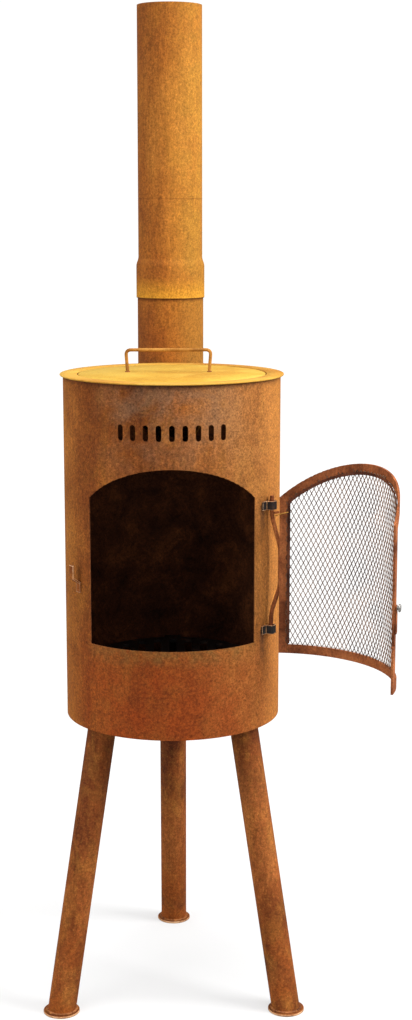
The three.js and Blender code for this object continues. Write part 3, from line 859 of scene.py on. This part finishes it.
def build_expanded_mesh():
    """Expanded metal: a lattice of tilted strands round upright diamond holes."""
    slope = math.hypot(DIAMOND_WIDE, DIAMOND_TALL)
    across = DIAMOND_WIDE / 2 - STRAND / 2 * slope / DIAMOND_TALL
    upright = DIAMOND_TALL / 2 - STRAND / 2 * slope / DIAMOND_WIDE
    columns, rows = 44, 46
    verts, index = [], {}

    def corner(column, row, key):
        if (column, row, key) not in index:
            shift = {"left": (-across, 0, 0), "right": (across, 0, 0), "top": (0, upright, STRAND_TILT),
                     "bottom": (0, -upright, -STRAND_TILT)}[key]
            along = (column + 0.5 * (row % 2)) * DIAMOND_WIDE + shift[0]
            z = DOOR["sill"] + row * DIAMOND_TALL / 2 + shift[1]
            index[column, row, key] = len(verts)
            verts.append(OPENED @ on_wall(MESH_RADIUS + shift[2], along, z))
        return index[column, row, key]

    faces = []
    for row in range(-1, rows):
        step = row % 2
        for column in range(-columns // 2, columns // 2 + 1):
            x = (column + 0.5 * step) * DIAMOND_WIDE
            z = DOOR["sill"] + row * DIAMOND_TALL / 2
            here = (column, row)
            above_right, above_left = (column + step, row + 1), (column + step - 1, row + 1)
            below_right = (column + step, row - 1)
            if inside_arch(x + DIAMOND_WIDE / 4, z + DIAMOND_TALL / 4, MESH_INSET):
                faces.append((corner(*here, "right"), corner(*above_right, "bottom"),
                              corner(*above_right, "left"), corner(*here, "top")))
            if inside_arch(x - DIAMOND_WIDE / 4, z + DIAMOND_TALL / 4, MESH_INSET):
                faces.append((corner(*here, "top"), corner(*above_left, "right"),
                              corner(*above_left, "bottom"), corner(*here, "left")))
            if inside_arch(x + DIAMOND_WIDE / 2, z, MESH_INSET):
                faces.append((corner(*here, "right"), corner(*below_right, "top"),
                              corner(column + 1, row, "left"), corner(*above_right, "bottom")))
    sheet = piece("expanded_mesh", verts, faces, "door", mesh_rust, ["door_mesh"], sharp=70)
    thick = sheet.modifiers.new("strand", "SOLIDIFY")
    thick.thickness = STRAND_THICK
    thick.offset = 0.0


def build_door():
    """The flat-bar frame with its notch and corner welds, the strip behind it, and the mesh."""
    free, hinge = along_wall(FREE_EDGE), along_wall(HINGE_EDGE)
    outside = free - 2 * MM
    bars = curved_door_sheet("door_bars", DOOR_INNER, DOOR_OUTER, 0.0, DOOR_BAR)
    notch = [(outside, NOTCH["low"]), (free + NOTCH["depth"], NOTCH["low"]), (free, NOTCH["high"]),
             (outside, NOTCH["high"])]
    cut_out(bars, [radial_wedge("latch_notch", notch)])
    finished(swing_open(bars), "door", door_rust, ["door_frame"], bevel=0.35 * MM)

    strip = curved_door_sheet("mesh_clamp_strip", CLAMP_INNER, CLAMP_OUTER, DOOR_BAR - 1.5 * MM,
                              DOOR_BAR + 2.5 * MM)
    low, high = DOOR["sill"] - MM, DOOR["sill"] + DOOR_BAR + 2.2 * MM
    cut_out(strip, [radial_wedge("open_bottom", [(free, low), (hinge, low), (hinge, high), (free, high)])])
    finished(swing_open(strip), "door", clamp_brown)
    build_expanded_mesh()

    steps = 8
    heights = [DOOR["sill"] + (1 + 10 * i / steps) * MM for i in range(steps + 1)]
    for side, along in (("free", free + DOOR_BAR), ("hinge", hinge - DOOR_BAR)):
        seam = [OPENED @ on_wall(DOOR_INNER - 0.1 * MM, along, z) for z in heights]
        weld(f"bar_weld_{side}", seam, 1.1 * MM, "door")


def build_hinge_rod():
    """The rod that bows out from the hinge loops to the door's bar, its welds and the tie's wire."""
    axis = Vector((HINGE_X, HINGE_Y, 0))
    bar = OPENED @ polar(DOOR_OUTER + GAP + ROD_RADIUS, HINGE_EDGE - 0.4)

    def at(place, z):
        return Vector((place.x, place.y, place.z + z))

    route = [at(axis, rod_high.z), at(axis, ROD_BOW["top"]), at(bar, ROD_BOW["weld_top"]),
             at(bar, ROD_BOW["weld_bottom"]), at(axis, ROD_BOW["bottom"]), at(axis, rod_low.z)]
    rod = swept(rounded(route, 9 * MM), ROD_RADIUS, 20)
    piece("bowed_rod", *rod, "door", door_rust, ["hinge_rod"], sharp=60)

    start = bar + ((OPENED @ polar(DOOR_OUTER, HINGE_EDGE)) - bar) * 0.95
    half = 6 * MM
    high, low = ROD_BOW["weld_top"] - 4 * MM, ROD_BOW["weld_bottom"] + 4 * MM
    middle = 0.5 * (ROD_BOW["weld_top"] + ROD_BOW["weld_bottom"])
    for i, z in enumerate((high, middle, low)):
        weld(f"rod_weld_{i}", [at(start, z - half), at(start, z + half)], 1.5 * MM, "door")

    tie = [OPENED @ polar(radius * MM, bearing, z) for radius, bearing, z in TIE_ROUTE]
    piece("tie_wire", *swept(rounded(tie, MM), TIE_RADIUS, 12), "door", handle_rust, sharp=60)


# ---------- CAD nodes that keep their shape ----------

CARRIED = {
    "drum_floor": soot_black, "fire_grate": soot_black, "grate_lug_left": soot_black,
    "grate_lug_right": soot_black, "grate_lug_back": soot_black, "lid_seat": hidden_rust,
    "flue_saddle": drum_rust_and_painted_light, "flue_clean_out_cap": hidden_rust, "leg_pad_left": hidden_rust,
    "leg_pad_right": hidden_rust, "leg_pad_back": hidden_rust, "leg_bolt_left": black_scale,
    "leg_bolt_right": black_scale, "leg_bolt_back": black_scale, "hinge_strap_top": black_scale,
    "hinge_strap_bottom": black_scale, "drum_catch": leg_rust, "hinge_tie": door_rust,
    "latch_stud": stud_steel, "latch_lever": door_rust,
}
# Nodes whose square edges take the pale colour of wear and painted highlight.
WORN_AND_HIGHLIT = ("drum_catch", "hinge_strap_top", "hinge_strap_bottom")


def dress_carried_nodes():
    """Gives the CAD meshes a material, shared corners and soft edges."""
    for name, material in CARRIED.items():
        node = NODES[name]
        node.data.materials.clear()
        node.data.materials.append(material)
        node.modifiers.new("shared_corners", "WELD").merge_threshold = 0.01 * MM
        if name in WORN_AND_HIGHLIT:
            soften(node, 0.7 * MM, edge_material=wear_and_highlight_edge)
        else:
            soften(node, 0.3 * MM)


# ---------- studio ----------

FLOOR_GLOW = (0.53, 0.86)           # near the object and far out


def pale_floor():
    """A pale floor that takes soft shadows near the feet and runs into the backdrop far out."""
    s = Shader("studio_floor")
    pale = s.ramp(s.noise(3, 3), [(0.3, grey(0.345)), (0.7, grey(0.355))])
    s.link(pale, s.surface.inputs["Base Color"])
    s.surface.inputs["Emission Color"].default_value = grey(1.0)
    seen = s.tree.nodes.new("ShaderNodeLightPath").outputs["Is Camera Ray"]
    glow = s.remap(s.radius(), 0.4, 4.5, *FLOOR_GLOW)
    s.link(s.math("MULTIPLY", seen, glow), s.surface.inputs["Emission Strength"])
    s.surface.inputs["Roughness"].default_value = 0.9
    reach = 40
    corners = [(-reach, -reach, 0), (reach, -reach, 0), (reach, reach, 0), (-reach, reach, 0)]
    floor = loose("studio_floor", corners, [(0, 1, 2, 3)])
    floor.data.materials.append(s.material)


def area_light(name, place, target, size, power):
    """A square soft light at a place, turned to a target."""
    data = bpy.data.lights.new(name, "AREA")
    data.size = size
    data.energy = power
    light = bpy.data.objects.new(name, data)
    light.location = place
    light.rotation_euler = (Vector(target) - Vector(place)).to_track_quat("-Z", "Y").to_euler()
    bpy.context.scene.collection.objects.link(light)


def studio():
    """A white backdrop that lights less than it shows, and soft lights with the key on the right."""
    world = bpy.data.worlds.new("studio")
    bpy.context.scene.world = world
    world.use_nodes = True
    tree = world.node_tree
    rays = tree.nodes.new("ShaderNodeLightPath")
    strength = tree.nodes.new("ShaderNodeMapRange")
    tree.links.new(rays.outputs["Is Camera Ray"], strength.inputs["Value"])
    strength.inputs["To Min"].default_value = 0.5
    strength.inputs["To Max"].default_value = 1.05
    background = tree.nodes["Background"]
    background.inputs[0].default_value = (1.0, 0.99, 0.98, 1.0)
    tree.links.new(strength.outputs[0], background.inputs[1])
    area_light("key", (2.6, -0.9, 2.3), (0, 0, 0.8), 1.4, 118)
    area_light("fill", (-2.6, -1.6, 1.6), (0, 0, 0.7), 2.0, 42)
    area_light("sky", (0, -0.6, 4.2), (0, 0, 0), 3.0, 130)
    bpy.context.scene.view_settings.view_transform = "Standard"


def camera():
    """The view from straight in front, at about chest height."""
    data = bpy.data.cameras.new("camera")
    data.sensor_width = 36
    data.lens = 60.58
    view = bpy.data.objects.new("camera", data)
    view.location = (0.0031, -2.5207, 1.1911)
    pitch_down, turn_right = 0.1759, 0.0187
    view.rotation_euler = (math.pi / 2 - pitch_down, 0, -turn_right)
    bpy.context.scene.collection.objects.link(view)
    bpy.context.scene.camera = view


camera()
pale_floor()
studio()
build_drum()
build_top()
build_handle()
build_upper_flue()
build_lower_flue()
build_legs()
build_door()
build_hinge_rod()
dress_carried_nodes()
